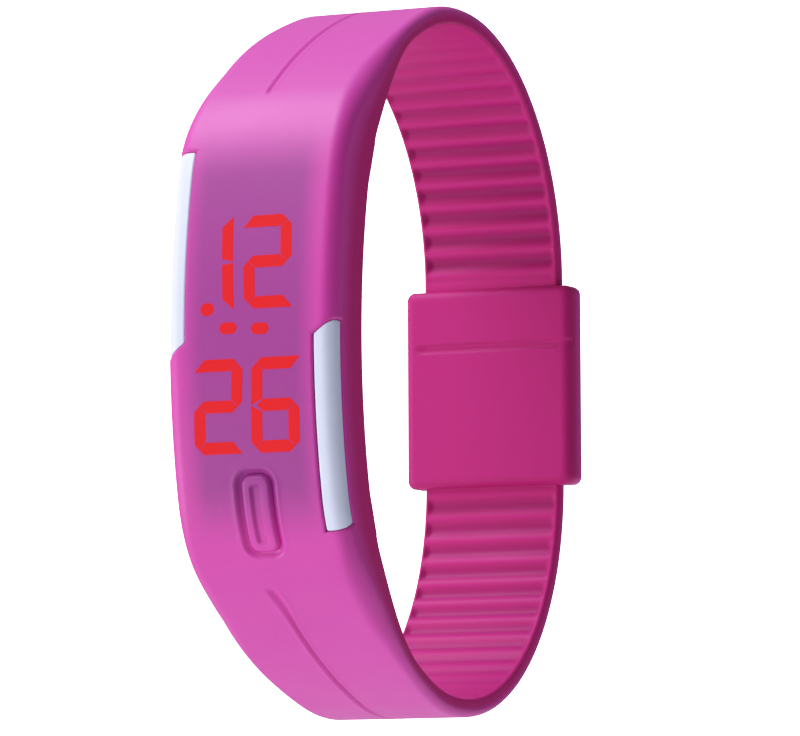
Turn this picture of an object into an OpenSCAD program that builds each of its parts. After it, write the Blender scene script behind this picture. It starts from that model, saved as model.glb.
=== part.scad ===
// Silicone fitness tracker band with a red digit display, a touch key and a plug-in clasp.
// Units: millimetres. Origin: centre of the closed loop, halfway between the display face and
// the back of the strap. X runs along the wrist, -Y is the display side, +Y the clasp side,
// +Z is the end of the loop above the hour digits. Everything is drawn closed and at rest.
//
// The outer face of the band is one path of tangent arcs. It starts at the middle of the
// display (s = 0) and runs up and round to the clasp as s grows; s < 0 is the mirrored lower half.

/* [Band] */
// Strap width at the clasp
strap_width = 18; // [17.5:0.25:18.5]
// Width of the display section
pod_width = 21.1; // [20.9:0.1:22]
// Thickness of the display section
pod_thickness = 8.1; // [7.4:0.1:8.4]
// Thickness of the strap
strap_thickness = 2.2; // [2.1:0.05:2.3]

/* [Grip ribs] */
// Distance between two grooves on the wrist side
rib_pitch = 3.1; // [2.6:0.1:4]
// Depth of a groove
rib_depth = 0.5; // [0.2:0.05:0.6]

/* [Clasp] */
// Width of the clasp box
clasp_width = 22.2; // [20.4:0.2:24]
// Length the tongue reaches into the socket
tongue_reach = 6; // [4:0.5:6]

/* [Touch key] */
// Travel of the touch key
key_travel = 0.3; // [0.1:0.05:0.3]

/* [Display] */
// Height of a digit
digit_height = 10.8; // [9:0.2:11]
// Stroke of a digit segment
stroke = 1.4; // [1:0.1:1.5]

/* [Hidden] */
$fn = 48;

// ---- the path of the outer face -------------------------------------------------
ARC_R = [86.3, 18.3, 70, 29.9];       // radii of the four arcs of half the loop
ARC_A = [12.4, 39.1, 20.4, 108.1];    // and the angle each one turns; together 180 degrees
STEP = 1.3;                           // spacing of the points along a curved outline

function head_at(i) = i == 0 ? 0 : head_at(i - 1) + ARC_A[i - 1];
function len_at(i) = i == 0 ? 0 : len_at(i - 1) + ARC_R[i - 1] * ARC_A[i - 1] * PI / 180;
function y_at(i) = i == 0 ? 0
    : y_at(i - 1) + ARC_R[i - 1] * (cos(head_at(i - 1)) - cos(head_at(i)));
function z_at(i) = i == 0 ? 0
    : z_at(i - 1) + ARC_R[i - 1] * (sin(head_at(i)) - sin(head_at(i - 1)));

HEAD = [for (i = [0:4]) head_at(i)];
LEN = [for (i = [0:4]) len_at(i)];
YS = [for (i = [0:4]) y_at(i)];
ZS = [for (i = [0:4]) z_at(i)];
half_depth = YS[4] / 2;
REAR_S = LEN[4] + ZS[4];              // path length from the display to the middle of the clasp

function arc_of(a) = a < LEN[1] ? 0 : a < LEN[2] ? 1 : a < LEN[3] ? 2 : a < LEN[4] ? 3 : 4;
function turn(a, i) = i == 4 ? 180 : HEAD[i] + (a - LEN[i]) / ARC_R[i] * 180 / PI;
function heading(s) = sign(s) * turn(abs(s), arc_of(abs(s)));
// a point at path length s, sunk by d below the outer face, as [y, z]
function upper_y(a, i, h) = i == 4 ? YS[4] : YS[i] + ARC_R[i] * (cos(HEAD[i]) - cos(h));
function upper_z(a, i, h) = i == 4 ? ZS[4] - (a - LEN[4])
    : ZS[i] + ARC_R[i] * (sin(h) - sin(HEAD[i]));
function half_pos(a, d, i, h) =
    [upper_y(a, i, h) - half_depth + d * cos(h), upper_z(a, i, h) - d * sin(h)];
function flip(p, s) = s < 0 ? [p[0], -p[1]] : p;
function pos(s, d) = flip(half_pos(abs(s), d, arc_of(abs(s)), turn(abs(s), arc_of(abs(s)))), s);

TAPER_FROM = 22;                      // the display section thins to the strap between these
TAPER_TO = 49.5;
function ramp(u) = u * u * (3 - 2 * u);
function thick(s) = pod_thickness + (strap_thickness - pod_thickness)
    * ramp(min(1, max(0, (abs(s) - TAPER_FROM) / (TAPER_TO - TAPER_FROM))));

// outline between depth a and depth b; ka, kb = 1 measure that depth from the inner face
function rim(s0, s1, a, ka, n) =
    [for (k = [0:n]) let (s = s0 + (s1 - s0) * k / n) pos(s, a + ka * thick(s))];
function reversed(v) = [for (k = [len(v) - 1:-1:0]) v[k]];

// a strip that follows the band from s0 to s1, reaching hw to each side of the middle
module strip(s0, s1, a, ka, b, kb, hw) {
    n = max(1, ceil(abs(s1 - s0) / STEP));
    translate([-hw, 0, 0]) rotate([90, 0, 90]) linear_extrude(2 * hw)
        polygon(concat(rim(s0, s1, a, ka, n), reversed(rim(s0, s1, b, kb, n))));
}

// local frame on the band: x along the wrist, y up the path, z out of the face
module on_path(s, d = 0) {
    p = pos(s, d);
    translate([0, p[0], p[1]]) rotate([90 - heading(s), 0, 0]) children();
}

// the plan outline that narrows the display section to the strap
NARROW_FROM = -26;
NARROW_TO = 0;
function half_width(y) = (pod_width + (strap_width - pod_width)
    * ramp(min(1, max(0, (y - NARROW_FROM) / (NARROW_TO - NARROW_FROM))))) / 2;
module plan_outline(zlo, zhi) {
    ys = [-half_depth - 2, for (k = [0:12]) NARROW_FROM + (NARROW_TO - NARROW_FROM) * k / 12,
          half_depth + 2];
    right = [for (y = ys) [half_width(y), y]];
    left = [for (k = [len(ys) - 1:-1:0]) [-half_width(ys[k]), ys[k]]];
    translate([0, 0, zlo]) linear_extrude(zhi - zlo) polygon(concat(right, left));
}

// 45 degree bevel along both outer corners of arc i, hw = half width there
BEVEL = 0.9;
module bevel_ring(i, hw) {
    h0 = HEAD[i];
    c = [YS[i] - half_depth + ARC_R[i] * cos(h0), ZS[i] - ARC_R[i] * sin(h0)];
    r = ARC_R[i];
    for (side = [-1, 1])
        translate([0, c[0], c[1]]) rotate([90, 0, 90])
            rotate([0, 0, 180 - HEAD[i + 1] - 0.5]) rotate_extrude(angle = ARC_A[i] + 1)
                polygon([[r - BEVEL, side * (hw + 0.01)], [r - BEVEL, side * (hw + 3)],
                         [r + 3, side * (hw + 3)], [r + 3, side * (hw - BEVEL - 3)]]);
}
// straight run-out that lets the bevel fade where the band starts to narrow
module bevel_runout(sgn, hw) {
    on_path(sgn * LEN[2]) for (side = [-1, 1])
        translate([side * hw, sgn < 0 ? -14 : 0, 0]) rotate([0, 45 * side, 0])
            translate([-3, 0, -BEVEL / sqrt(2)]) cube([6, 14, 4]);
}
module bevels(hw) {
    for (i = [0:1]) {
        bevel_ring(i, hw);
        mirror([0, 0, 1]) bevel_ring(i, hw);
    }
    for (sgn = [-1, 1]) bevel_runout(sgn, hw);
}

// ---- flex lines -------------------------------------------------------------------
FLEX_S = 58;                          // where each strap half bends
KNUCKLE_R = strap_thickness / 2;
KNUCKLE_GAP = 0.1;
LIP = 0.95;                           // distance from the flex axis to the end of the sleeve
module knuckle(s, r) {
    p = pos(s, strap_thickness / 2);
    translate([-12, p[0], p[1]]) rotate([0, 90, 0]) cylinder(h = 24, r = r);
}

// ---- display module ---------------------------------------------------------------
WALL = 1.2;                           // silicone over the module
SHELL_T = 0.8;
SHELL_HW = 8.6;
SHELL_S = 27;
MASK_TOP = WALL + 0.05 + SHELL_T + 0.05;
MASK_T = 0.5;
COVER_S = 24.3;
COVER_HW = 7.2;
COVER_T = 0.8;
LIP_T = 1;                            // silicone lip that holds the module on the wrist side
SCREW_S = 22.6;
SCREW_X = 5.6;
SCREW_R = 0.45;
SCREW_HEAD_R = 0.85;

TRIM_X = 8.1;                         // inner edge of a side trim on the display face
TRIM_LOW = 22.9;                      // its square end
TRIM_DEEP = 2.45;
TRIM_SUNK = 0.15;                     // how far it lies below the silicone
TRIM_SHIFT = 1.05;                    // the left trim sits this much lower than a mirror image
// trim outline seen from the display side, grown by g; slanted at the top, square below
function trim_outline(g, x1) = [[TRIM_X - g, -TRIM_LOW - g], [x1, -TRIM_LOW - g],
    [x1, 1.25 + g * 1.3], [TRIM_X - g, -0.45 + g * 1.3]];
module trim_prism(left, g, x1) {
    translate([0, -20, left ? -TRIM_SHIFT : 0]) rotate([90, 0, 0]) rotate([0, 0, left ? 180 : 0])
        linear_extrude(20) polygon(trim_outline(g, x1));
}

// ---- digits -----------------------------------------------------------------------
DIGIT_W = 6.1;
SEG_GAP = 0.07;                       // half the gap between two segments
CUT = 1.2;                            // chamfer on the outer corners of a digit
// Each digit is a list of segment outlines in a box w wide and h high. Joined ends are mitred
// and free ends are slanted.
function two(w, h, t, c) = let (m = h / 2) [
    [[0, h - t], [c, h], [w - c, h], [w - c / 2, h - c / 2], [w - t, h - t]],
    [[w - t, h - t], [w - c / 2, h - c / 2], [w, h - c], [w, m - t / 2 + c],
     [w - c / 2, m - t / 2 + c / 2], [w - t, m + t / 2]],
    [[c / 2, m + t / 2 - c / 2], [c, m + t / 2], [w - t, m + t / 2],
     [w - c / 2, m - t / 2 + c / 2], [w - c, m - t / 2], [t, m - t / 2]],
    [[t, m - t / 2], [c / 2, m + t / 2 - c / 2], [0, m + t / 2 - c], [0, c], [c / 2, c / 2],
     [t, t]],
    [[t, t], [c / 2, c / 2], [c, 0], [w, 0], [w - c, t]]];
function six(w, h, t, c) = let (m = h / 2) [
    [[t, h - t], [c / 2, h - c / 2], [c, h], [w, h], [w - c, h - t]],
    [[t, h - t], [t, m + t / 2], [0, m], [0, h - c], [c / 2, h - c / 2]],
    [[t, m + t / 2], [w - c, m + t / 2], [w - c / 2, m + t / 2 - c / 2], [w - t, m - t / 2],
     [t, m - t / 2], [t / 2, m]],
    [[0, m], [t, m - t / 2], [t, t], [c / 2, c / 2], [0, c]],
    [[w - c / 2, m + t / 2 - c / 2], [w, m + t / 2 - c], [w, c], [w - c / 2, c / 2],
     [w - t, t], [w - t, m - t / 2]],
    [[t, t], [c / 2, c / 2], [c, 0], [w - c, 0], [w - c / 2, c / 2], [w - t, t]]];
function one(h, t, c) = let (m = h / 2) [
    [[0, h - c], [t, h], [t, m + 0.1], [0, m + 0.5]],
    [[0, m], [t, m - 0.1], [t, 0], [0, c]]];
// plain bars for the segments that stay dark
function bar_upper(x, h, t) = [[x, h / 2 + t / 2 + 0.3], [x + t, h / 2 + t / 2 + 0.3],
    [x + t, h - t - 0.3], [x, h - t - 0.3]];
function bar_lower(x, h, t) = [[x, t + 0.3], [x + t, t + 0.3],
    [x + t, h / 2 - t / 2 - 0.3], [x, h / 2 - t / 2 - 0.3]];

HOUR_Z = 2.75;                        // lower edge of the hour digits
MINUTE_Z = -2.75 - digit_height;
HOUR_LEAN = -0.046;                   // sideways shift per millimetre of height
MINUTE_LEAN = 0.048;
HOUR_TENS_X = -3.2;                   // left edge of each digit at its foot
HOUR_UNITS_X = -0.5;
TENS_X = -7.25;
UNITS_X = -0.07;
function low(p, k) = min([for (q = p) q[k]]);
function high(p, k) = max([for (q = p) q[k]]);
function pulled(v, a, b) = (a + b) / 2 + (v - (a + b) / 2) * (1 - 2 * SEG_GAP / (b - a));
function shrunk(p) = [for (q = p) [pulled(q[0], low(p, 0), high(p, 0)),
                                   pulled(q[1], low(p, 1), high(p, 1))]];
// prisms for a list of outlines whose box has its lower left corner at x, z
module segments(list, x, z, lean, front, back) {
    translate([x, 0, z]) for (p = list)
        translate([0, back, 0]) rotate([90, 0, 0]) linear_extrude(back - front)
            polygon([for (q = shrunk(p)) [q[0] + lean * q[1], q[1]]]);
}
module hour_shape(front, back) {
    segments(one(digit_height, stroke, CUT), HOUR_TENS_X, HOUR_Z, HOUR_LEAN, front, back);
    segments(two(DIGIT_W, digit_height, stroke, CUT), HOUR_UNITS_X, HOUR_Z, HOUR_LEAN, front,
             back);
}
module minute_shape(front, back) {
    segments(two(DIGIT_W, digit_height, stroke, CUT), TENS_X, MINUTE_Z, MINUTE_LEAN, front,
             back);
    segments(six(DIGIT_W, digit_height, stroke, CUT), UNITS_X, MINUTE_Z, MINUTE_LEAN, front,
             back);
}
// an oval dot, wider than high by w
module dot(x, z, r, w, front, back) {
    translate([x, back, z]) rotate([90, 0, 0]) {
        for (e = [-1, 1]) translate([e * w / 2, 0, 0]) cylinder(h = back - front, r = r);
        translate([-w / 2, -r, 0]) cube([w, 2 * r, back - front]);
    }
}
module colon_shape(front, back) {
    dot(-2.5, 0.7, 0.68, 0.8, front, back);
    dot(1.5, 0.5, 0.68, 0.8, front, back);
}
module indicator_shape(front, back) {
    dot(-5.2, 2.9, 0.76, 0.3, front, back);
}
FACE_Y = -half_depth - 0.5;           // a plane just in front of the display
MASK_BACK_Y = -half_depth + 5;
module lit_shapes() {
    hour_shape(FACE_Y, MASK_BACK_Y);
    minute_shape(FACE_Y, MASK_BACK_Y);
    colon_shape(FACE_Y, MASK_BACK_Y);
    indicator_shape(FACE_Y, MASK_BACK_Y);
}
module guide_strip() { strip(-15.2, 15.2, 0, 0, MASK_TOP + MASK_T, 0, 8); }

// ---- touch key --------------------------------------------------------------------
KEY_S = -20.6;
PAD_W = 3.9;
PAD_L = 9;
GROOVE = 1;                           // width of the groove round the pad
GROOVE_DEEP = 0.65;
PAD_T = 0.88;
PLUNGER_R = 1;
SWITCH_TOP = 3.1;                     // depth of the switch below the face
PLUNGER_END = SWITCH_TOP - 0.35;      // depth of the plunger's foot, clear when pressed
// a stadium shaped post on the local frame, from depth d0 to depth d1
module stadium(w, l, d0, d1) {
    translate([0, 0, -d1]) {
        translate([-w / 2, -(l - w) / 2, 0]) cube([w, l - w, d1 - d0]);
        for (e = [-1, 1]) translate([0, e * (l - w) / 2, 0]) cylinder(h = d1 - d0, r = w / 2);
    }
}

// ---- electronics ------------------------------------------------------------------
BOARD_Y = -half_depth + 4.05;         // front face of the board
BOARD_T = 0.5;
BOARD_HW = 6.8;
BOARD_HZ = 14.8;
CELL_R = 6.25;
CELL_T = 1.6;
CELL_Y = BOARD_Y + BOARD_T + 0.2;

// ---- clasp ------------------------------------------------------------------------
REAR_Y = half_depth;                  // outer face of the strap at the clasp
CLASP_IN = REAR_Y - strap_thickness - 1.3;
CLASP_OUT = REAR_Y + 1;
CLASP_MID = REAR_Y - strap_thickness / 2;
CLASP_TOP = 11.7;
CLASP_BOTTOM = -12.8;
SEAM_Z = 4.5;
SEAM_GAP = 0.03;
CORNER_R = 1.2;
POCKET_HW = strap_width / 2 + 0.05;
PLUG_STRAP_END = 8.2;
SOCKET_STRAP_END = -5;
TONGUE_HW = 6;
TONGUE_T = 0.8;
TONGUE_PLAY = 0.35;                   // free space on each flat side of the tongue
PLUG_PIN_Z = 9.8;
SOCKET_PIN_Z = -9;
STRAP_PIN_R = 0.5;
STRAP_PIN_HX = 9.6;
function strap_end(z) = REAR_S - z;   // path length at height z on the straight part

// box from y0 to y1 and z0 to z1 with its two corners at z = zr rounded
module half_box(y0, y1, z0, z1, round_top) {
    hw = clasp_width / 2;
    t = y1 - y0;
    za = round_top ? z0 : z0 + CORNER_R;
    zb = round_top ? z1 - CORNER_R : z1;
    zc = round_top ? z1 - CORNER_R : z0 + CORNER_R;
    translate([-hw, y0, za]) cube([2 * hw, t, zb - za]);
    translate([-hw + CORNER_R, y0, z0]) cube([2 * (hw - CORNER_R), t, z1 - z0]);
    for (side = [-1, 1])
        translate([side * (hw - CORNER_R), y1, zc]) rotate([90, 0, 0])
            cylinder(h = t, r = CORNER_R);
}
module strap_pocket(z0, z1) {
    translate([-POCKET_HW, REAR_Y - strap_thickness - 0.04, z0])
        cube([2 * POCKET_HW, strap_thickness + 0.08, z1 - z0]);
}
module cross_pin(z, r, hx) {
    translate([-hx, CLASP_MID, z]) rotate([0, 90, 0]) cylinder(h = 2 * hx, r = r);
}
module tongue_pocket() {
    translate([-TONGUE_HW - 0.3, CLASP_MID - TONGUE_T / 2 - TONGUE_PLAY,
               SEAM_Z - tongue_reach - 0.8])
        cube([2 * TONGUE_HW + 0.6, TONGUE_T + 2 * TONGUE_PLAY, tongue_reach + 2]);
}

// ---- strap ------------------------------------------------------------------------
RIB_R = 1.3;
RIB_FROM = 75.4;                      // the ribs fade in over RIB_FADE from here
RIB_FADE = 24;
RIB_TO = 110;
RIB_EDGE = 0.6;                       // plain border at each side of the ribs
module ribs(sgn) {
    for (s = [RIB_FROM:rib_pitch:RIB_TO]) {
        deep = rib_depth * min(1, 0.35 + 0.65 * (s - RIB_FROM) / RIB_FADE);
        p = pos(sgn * s, strap_thickness + RIB_R - deep);
        translate([-strap_width / 2 + RIB_EDGE, p[0], p[1]]) rotate([0, 90, 0])
            cylinder(h = strap_width - 2 * RIB_EDGE, r = RIB_R);
    }
}
CREASE_X = [-0.5, -1.2];              // where the lower and the upper crease run
module crease(sgn) {
    translate([CREASE_X[sgn < 0 ? 0 : 1], 0, 0]) for (k = [0:3])
        strip(sgn * (30.2 + 7 * k), sgn * (37.2 + 7 * k), -0.5, 0, 0.34 - 0.06 * k, 0, 0.35);
}
module strap_half(sgn, z_end) {
    difference() {
        union() {
            intersection() {
                strip(sgn * FLEX_S, sgn * strap_end(sgn * z_end), 0, 0, 0, 1, 12);
                plan_outline(-60, 60);
            }
            intersection() {
                knuckle(sgn * FLEX_S, KNUCKLE_R);
                plan_outline(-60, 60);
            }
        }
        ribs(sgn);
    }
}

// ---- nodes: display section -------------------------------------------------------
SILICONE = [0.9, 0.32, 0.74];
WHITE = [0.93, 0.95, 0.98];
module band_sleeve() {
    color(SILICONE) difference() {
        intersection() {
            strip(-FLEX_S + LIP, FLEX_S - LIP, 0, 0, 0, 1, 12);
            plan_outline(-60, 60);
        }
        bevels(pod_width / 2);
        for (sgn = [-1, 1]) {
            knuckle(sgn * FLEX_S, KNUCKLE_R + KNUCKLE_GAP);
            crease(sgn);
        }
        strip(-SHELL_S - 0.05, SHELL_S + 0.05, WALL, 0, -LIP_T, 1, SHELL_HW + 0.05);
        strip(-COVER_S - 0.1, COVER_S + 0.1, -1.5, 1, 0.5, 1, COVER_HW + 0.1);
        for (left = [false, true]) intersection() {
            strip(-26, 26, -1, 0, TRIM_DEEP + 0.1, 0, 14);
            trim_prism(left, 0.1, 14);
        }
        intersection() {
            lit_shapes();
            strip(-16, 16, -1, 0, WALL + 0.2, 0, 8);
        }
        on_path(KEY_S) {
            stadium(PAD_W + 2 * GROOVE, PAD_L + 2 * GROOVE, -2, GROOVE_DEEP);
            stadium(PAD_W + 0.24, PAD_L + 0.24, 0, 2.2);
        }
    }
}

module screw_spots() {
    for (e = [-1, 1]) on_path(e * SCREW_S, thick(SCREW_S))
        for (x = [-SCREW_X, SCREW_X]) translate([x, 0, 0]) children();
}
module module_shell() {
    color([0.86, 0.86, 0.88]) difference() {
        union() {
            difference() {
                strip(-SHELL_S, SHELL_S, WALL + 0.05, 0, -LIP_T - 0.05, 1, SHELL_HW);
                strip(-SHELL_S + 0.8, SHELL_S - 0.8, WALL + 0.05 + SHELL_T, 0, -2.35, 1,
                      COVER_HW + 0.45);
                strip(-SHELL_S + 0.8, SHELL_S - 0.8, -2.4, 1, 1, 1, COVER_HW + 0.6);
            }
            intersection() {
                screw_spots() translate([0, 0, 1.75]) cylinder(h = 4.5, r = 1.1);
                strip(-SHELL_S, SHELL_S, WALL + 0.3, 0, -1.75, 1, SHELL_HW - 0.5);
            }
        }
        screw_spots() translate([0, 0, 0]) cylinder(h = 3.6, r = SCREW_R);
        intersection() {
            lit_shapes();
            strip(-16, 16, 0, 0, WALL + SHELL_T + 0.3, 0, 8);
        }
        on_path(KEY_S) translate([0, 0, -WALL - 2]) cylinder(h = 2.2, r = PLUNGER_R + 0.1);
    }
}
module back_cover() {
    color([0.8, 0.8, 0.83]) difference() {
        strip(-COVER_S - 1.1, COVER_S + 1.1, -1.7, 1, 0, 1, COVER_HW + 0.5);
        difference() {
            strip(-COVER_S - 2.4, COVER_S + 2.4, -LIP_T - 0.05, 1, 1, 1, COVER_HW + 2);
            strip(-COVER_S, COVER_S, -LIP_T - 1, 1, 2, 1, COVER_HW);
        }
        strip(-COVER_S + 3.6, COVER_S - 3.6, -2.5, 1, -COVER_T, 1, CELL_R + 0.35);
        screw_spots() {
            translate([0, 0, -1]) cylinder(h = 4, r = SCREW_R);
            translate([0, 0, -1]) cylinder(h = 1.5, r = SCREW_HEAD_R + 0.05);
        }
    }
}
module back_seal() {
    color([0.12, 0.12, 0.13]) difference() {
        strip(-COVER_S - 1.3, COVER_S + 1.3, -2.33, 1, -1.72, 1, COVER_HW + 0.55);
        strip(-COVER_S - 0.7, COVER_S + 0.7, -3, 1, -1, 1, COVER_HW + 0.05);
    }
}
module back_screws() {
    color([0.7, 0.7, 0.72]) screw_spots() difference() {
        union() {
            translate([0, 0, 0.05]) cylinder(h = 0.43, r = SCREW_HEAD_R);
            translate([0, 0, 0.4]) cylinder(h = 2.8, r = SCREW_R - 0.02);
        }
        for (a = [0, 90]) rotate([0, 0, a]) translate([-0.5, -0.1, -0.1])
            cube([1, 0.2, 0.35]);
    }
}
module side_trim(left) {
    intersection() {
        difference() {
            strip(-26, 26, TRIM_SUNK, 0, TRIM_DEEP, 0, pod_width / 2 - TRIM_SUNK);
            strip(-26.5, 26.5, WALL, 0, TRIM_DEEP + 1, 0, SHELL_HW + 0.06);
            bevels(pod_width / 2 - TRIM_SUNK);
        }
        trim_prism(left, 0, 14);
    }
}
module right_side_trim() { color(WHITE) side_trim(false); }
module left_side_trim() { color(WHITE) side_trim(true); }

module light_mask() {
    color([0.16, 0.12, 0.16]) difference() {
        strip(-15.2, 15.2, MASK_TOP, 0, MASK_TOP + MASK_T, 0, 7.6);
        lit_shapes();
        unlit_shape();
    }
}
module unlit_shape() {
    w = DIGIT_W;
    h = digit_height;
    t = stroke;
    segments([[[-3.4, h - t], [-3.4, h], [-0.3, h], [-0.3, h - t]],
              [[-3.4, h / 2 - t / 2], [-3.4, h / 2 + t / 2], [-0.3, h / 2 + t / 2],
               [-0.3, h / 2 - t / 2]]], HOUR_TENS_X, HOUR_Z, HOUR_LEAN, FACE_Y, MASK_BACK_Y);
    for (p = [bar_upper(0, h, t), bar_lower(w - t, h, t)]) {
        segments([p], HOUR_UNITS_X, HOUR_Z, HOUR_LEAN, FACE_Y, MASK_BACK_Y);
        segments([p], TENS_X + 0.4, MINUTE_Z, MINUTE_LEAN, FACE_Y, MASK_BACK_Y);
    }
    segments([bar_upper(w - t, h, t)], UNITS_X, MINUTE_Z, MINUTE_LEAN, FACE_Y, MASK_BACK_Y);
}
RED = [0.95, 0.12, 0.1];
module hour_digits() {
    color(RED) intersection() { guide_strip(); hour_shape(FACE_Y, MASK_BACK_Y); }
}
module minute_digits() {
    color(RED) intersection() { guide_strip(); minute_shape(FACE_Y, MASK_BACK_Y); }
}
module colon_dots() {
    color(RED) intersection() { guide_strip(); colon_shape(FACE_Y, MASK_BACK_Y); }
}
module indicator_dot() {
    color(RED) intersection() { guide_strip(); indicator_shape(FACE_Y, MASK_BACK_Y); }
}
module unlit_segments() {
    color([0.35, 0.1, 0.14]) intersection() {
        strip(-15.2, 15.2, MASK_TOP, 0, MASK_TOP + MASK_T, 0, 7.5);
        unlit_shape();
    }
}

// ---- nodes: electronics -----------------------------------------------------------
module circuit_board() {
    color([0.1, 0.35, 0.2]) translate([-BOARD_HW, BOARD_Y, -BOARD_HZ])
        cube([2 * BOARD_HW, BOARD_T, 2 * BOARD_HZ]);
}
LED_T = 0.4;
module led_chips() {
    color([0.95, 0.9, 0.7]) for (z = [-11.5, -8.1, -4.6, 4.6, 8.1, 11.5]) for (x = [-4.2, -1.4, 1.6, 4.6])
        translate([x - 0.4, BOARD_Y - LED_T, z - 0.3]) cube([0.8, LED_T, 0.6]);
}
module controller_chip() {
    color([0.1, 0.1, 0.11]) translate([-2, BOARD_Y + BOARD_T, 8.3]) cube([4, 0.8, 4]);
}
module quartz_crystal() {
    color([0.75, 0.75, 0.77]) translate([-1.6, BOARD_Y + BOARD_T, -10.2]) cube([3.2, 0.7, 1.5]);
}
module board_parts() {
    color([0.75, 0.62, 0.42]) for (z = [-13.4, -11.9, 13.4]) for (x = [-4.4, -2.2, 2, 4.2])
        translate([x - 0.5, BOARD_Y + BOARD_T, z - 0.25]) cube([1, 0.5, 0.5]);
}
module coin_cell() {
    color([0.78, 0.78, 0.8]) translate([0, CELL_Y + CELL_T, 0]) rotate([90, 0, 0])
        difference() {
            cylinder(h = CELL_T, r = CELL_R);
            translate([0, 0, CELL_T - 0.2]) difference() {
                cylinder(h = 0.4, r = CELL_R + 1);
                cylinder(h = 0.4, r = CELL_R - 0.8);
            }
        }
}
module battery_clip() {
    color([0.8, 0.8, 0.82]) translate([0, BOARD_Y + BOARD_T + 0.8, 0]) rotate([90, 0, 0])
        difference() {
            cylinder(h = 0.8, r = CELL_R + 0.45);
            translate([0, 0, -0.5]) cylinder(h = 2, r = CELL_R + 0.1);
            translate([-3, 0, -0.5]) cube([6, 10, 2]);
        }
}
module battery_contact() {
    color([0.85, 0.75, 0.4]) translate([-1.5, BOARD_Y + BOARD_T, -4]) cube([3, 0.18, 8]);
}
FLEX_T = 0.3;
SWITCH_T = 1;
module switch_flex() {
    color([0.75, 0.5, 0.2]) on_path(KEY_S)
        translate([-2.4, -3, -SWITCH_TOP - SWITCH_T - FLEX_T]) cube([4.8, 7, FLEX_T]);
}
module switch_base() {
    color([0.15, 0.15, 0.16]) on_path(KEY_S) difference() {
        translate([-1.6, -1.6, -SWITCH_TOP - SWITCH_T]) cube([3.2, 3.2, SWITCH_T]);
        translate([0, 0, -SWITCH_TOP - SWITCH_T + 0.3]) cylinder(h = 2, r = 0.7);
    }
}

// ---- nodes: touch key -------------------------------------------------------------
module touch_pad() {
    color(SILICONE) difference() {
        intersection() {
            strip(KEY_S - 7, KEY_S + 7, 0, 0, PAD_T, 0, 5);
            on_path(KEY_S) stadium(PAD_W, PAD_L, -2, 3);
        }
        on_path(KEY_S) stadium(1.2, 6.2, -2, 0.25);
    }
}
module key_plunger() {
    color([0.86, 0.86, 0.88]) on_path(KEY_S)
        translate([0, 0, -PLUNGER_END]) cylinder(h = PLUNGER_END - PAD_T - 0.05, r = PLUNGER_R);
}
module switch_plunger() {
    color([0.2, 0.2, 0.22]) on_path(KEY_S)
        translate([0, 0, -3.4]) cylinder(h = 3.4 - PLUNGER_END, r = 0.62);
}

// ---- nodes: strap halves and clasp ------------------------------------------------
module upper_strap() {
    color(SILICONE) difference() {
        strap_half(1, PLUG_STRAP_END);
        cross_pin(PLUG_PIN_Z, STRAP_PIN_R, 20);
    }
}
module lower_strap() {
    color(SILICONE) difference() {
        strap_half(-1, SOCKET_STRAP_END);
        cross_pin(SOCKET_PIN_Z, STRAP_PIN_R, 20);
    }
}
TAIL_HW = TONGUE_HW + 1;
TAIL_Z = SEAM_Z + 1;                  // the tongue is wider above this height
module tongue_shape(play) {
    tip = SEAM_Z - tongue_reach;
    translate([0, CLASP_MID + TONGUE_T / 2 + play, 0]) rotate([90, 0, 0])
        linear_extrude(TONGUE_T + 2 * play) polygon([
            [-TONGUE_HW + 1.2, tip], [TONGUE_HW - 1.2, tip],
            [TONGUE_HW, tip + 1.2], [TONGUE_HW, TAIL_Z], [TAIL_HW, TAIL_Z],
            [TAIL_HW, PLUG_STRAP_END - 0.1], [-TAIL_HW, PLUG_STRAP_END - 0.1],
            [-TAIL_HW, TAIL_Z], [-TONGUE_HW, TAIL_Z], [-TONGUE_HW, tip + 1.2]]);
}
module plug_cover(y0, y1) {
    color(SILICONE) difference() {
        half_box(y0, y1, SEAM_Z + SEAM_GAP, CLASP_TOP, true);
        strap_pocket(PLUG_STRAP_END - 0.05, CLASP_TOP + 1);
        tongue_shape(0);
        cross_pin(PLUG_PIN_Z, STRAP_PIN_R, STRAP_PIN_HX);
    }
}
module socket_cover(y0, y1) {
    color(SILICONE) difference() {
        half_box(y0, y1, CLASP_BOTTOM, SEAM_Z - SEAM_GAP, false);
        strap_pocket(CLASP_BOTTOM - 1, SOCKET_STRAP_END + 0.05);
        tongue_pocket();
        spring_slots(0.05);
        cross_pin(SOCKET_PIN_Z, STRAP_PIN_R, STRAP_PIN_HX);
    }
}
// shallow channel along the seam on the wrist side, with a plain border at its left end
module seam_channel() {
    translate([-clasp_width / 2 + 1.5, CLASP_IN - 1, SEAM_Z - 0.45])
        cube([clasp_width, 1.2, 0.9]);
}
module plug_cover_inner() {
    color(SILICONE) difference() { plug_cover(CLASP_IN, CLASP_MID); seam_channel(); }
}
module plug_cover_outer() { plug_cover(CLASP_MID, CLASP_OUT); }
module socket_cover_inner() {
    color(SILICONE) difference() { socket_cover(CLASP_IN, CLASP_MID); seam_channel(); }
}
module socket_cover_outer() { socket_cover(CLASP_MID, CLASP_OUT); }
module plug_tongue() { color([0.78, 0.78, 0.8]) tongue_shape(0); }
module plug_strap_pin() {
    color([0.75, 0.75, 0.77]) cross_pin(PLUG_PIN_Z, STRAP_PIN_R, STRAP_PIN_HX);
}
module socket_strap_pin() {
    color([0.75, 0.75, 0.77]) cross_pin(SOCKET_PIN_Z, STRAP_PIN_R, STRAP_PIN_HX);
}
SPRING_T = 0.2;
SPRING_Z = SEAM_Z - 5.3;               // lower end of the leaves
SPRING_Y = CLASP_MID + TONGUE_T / 2 + TONGUE_PLAY;   // outer wall of the tongue pocket
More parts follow.
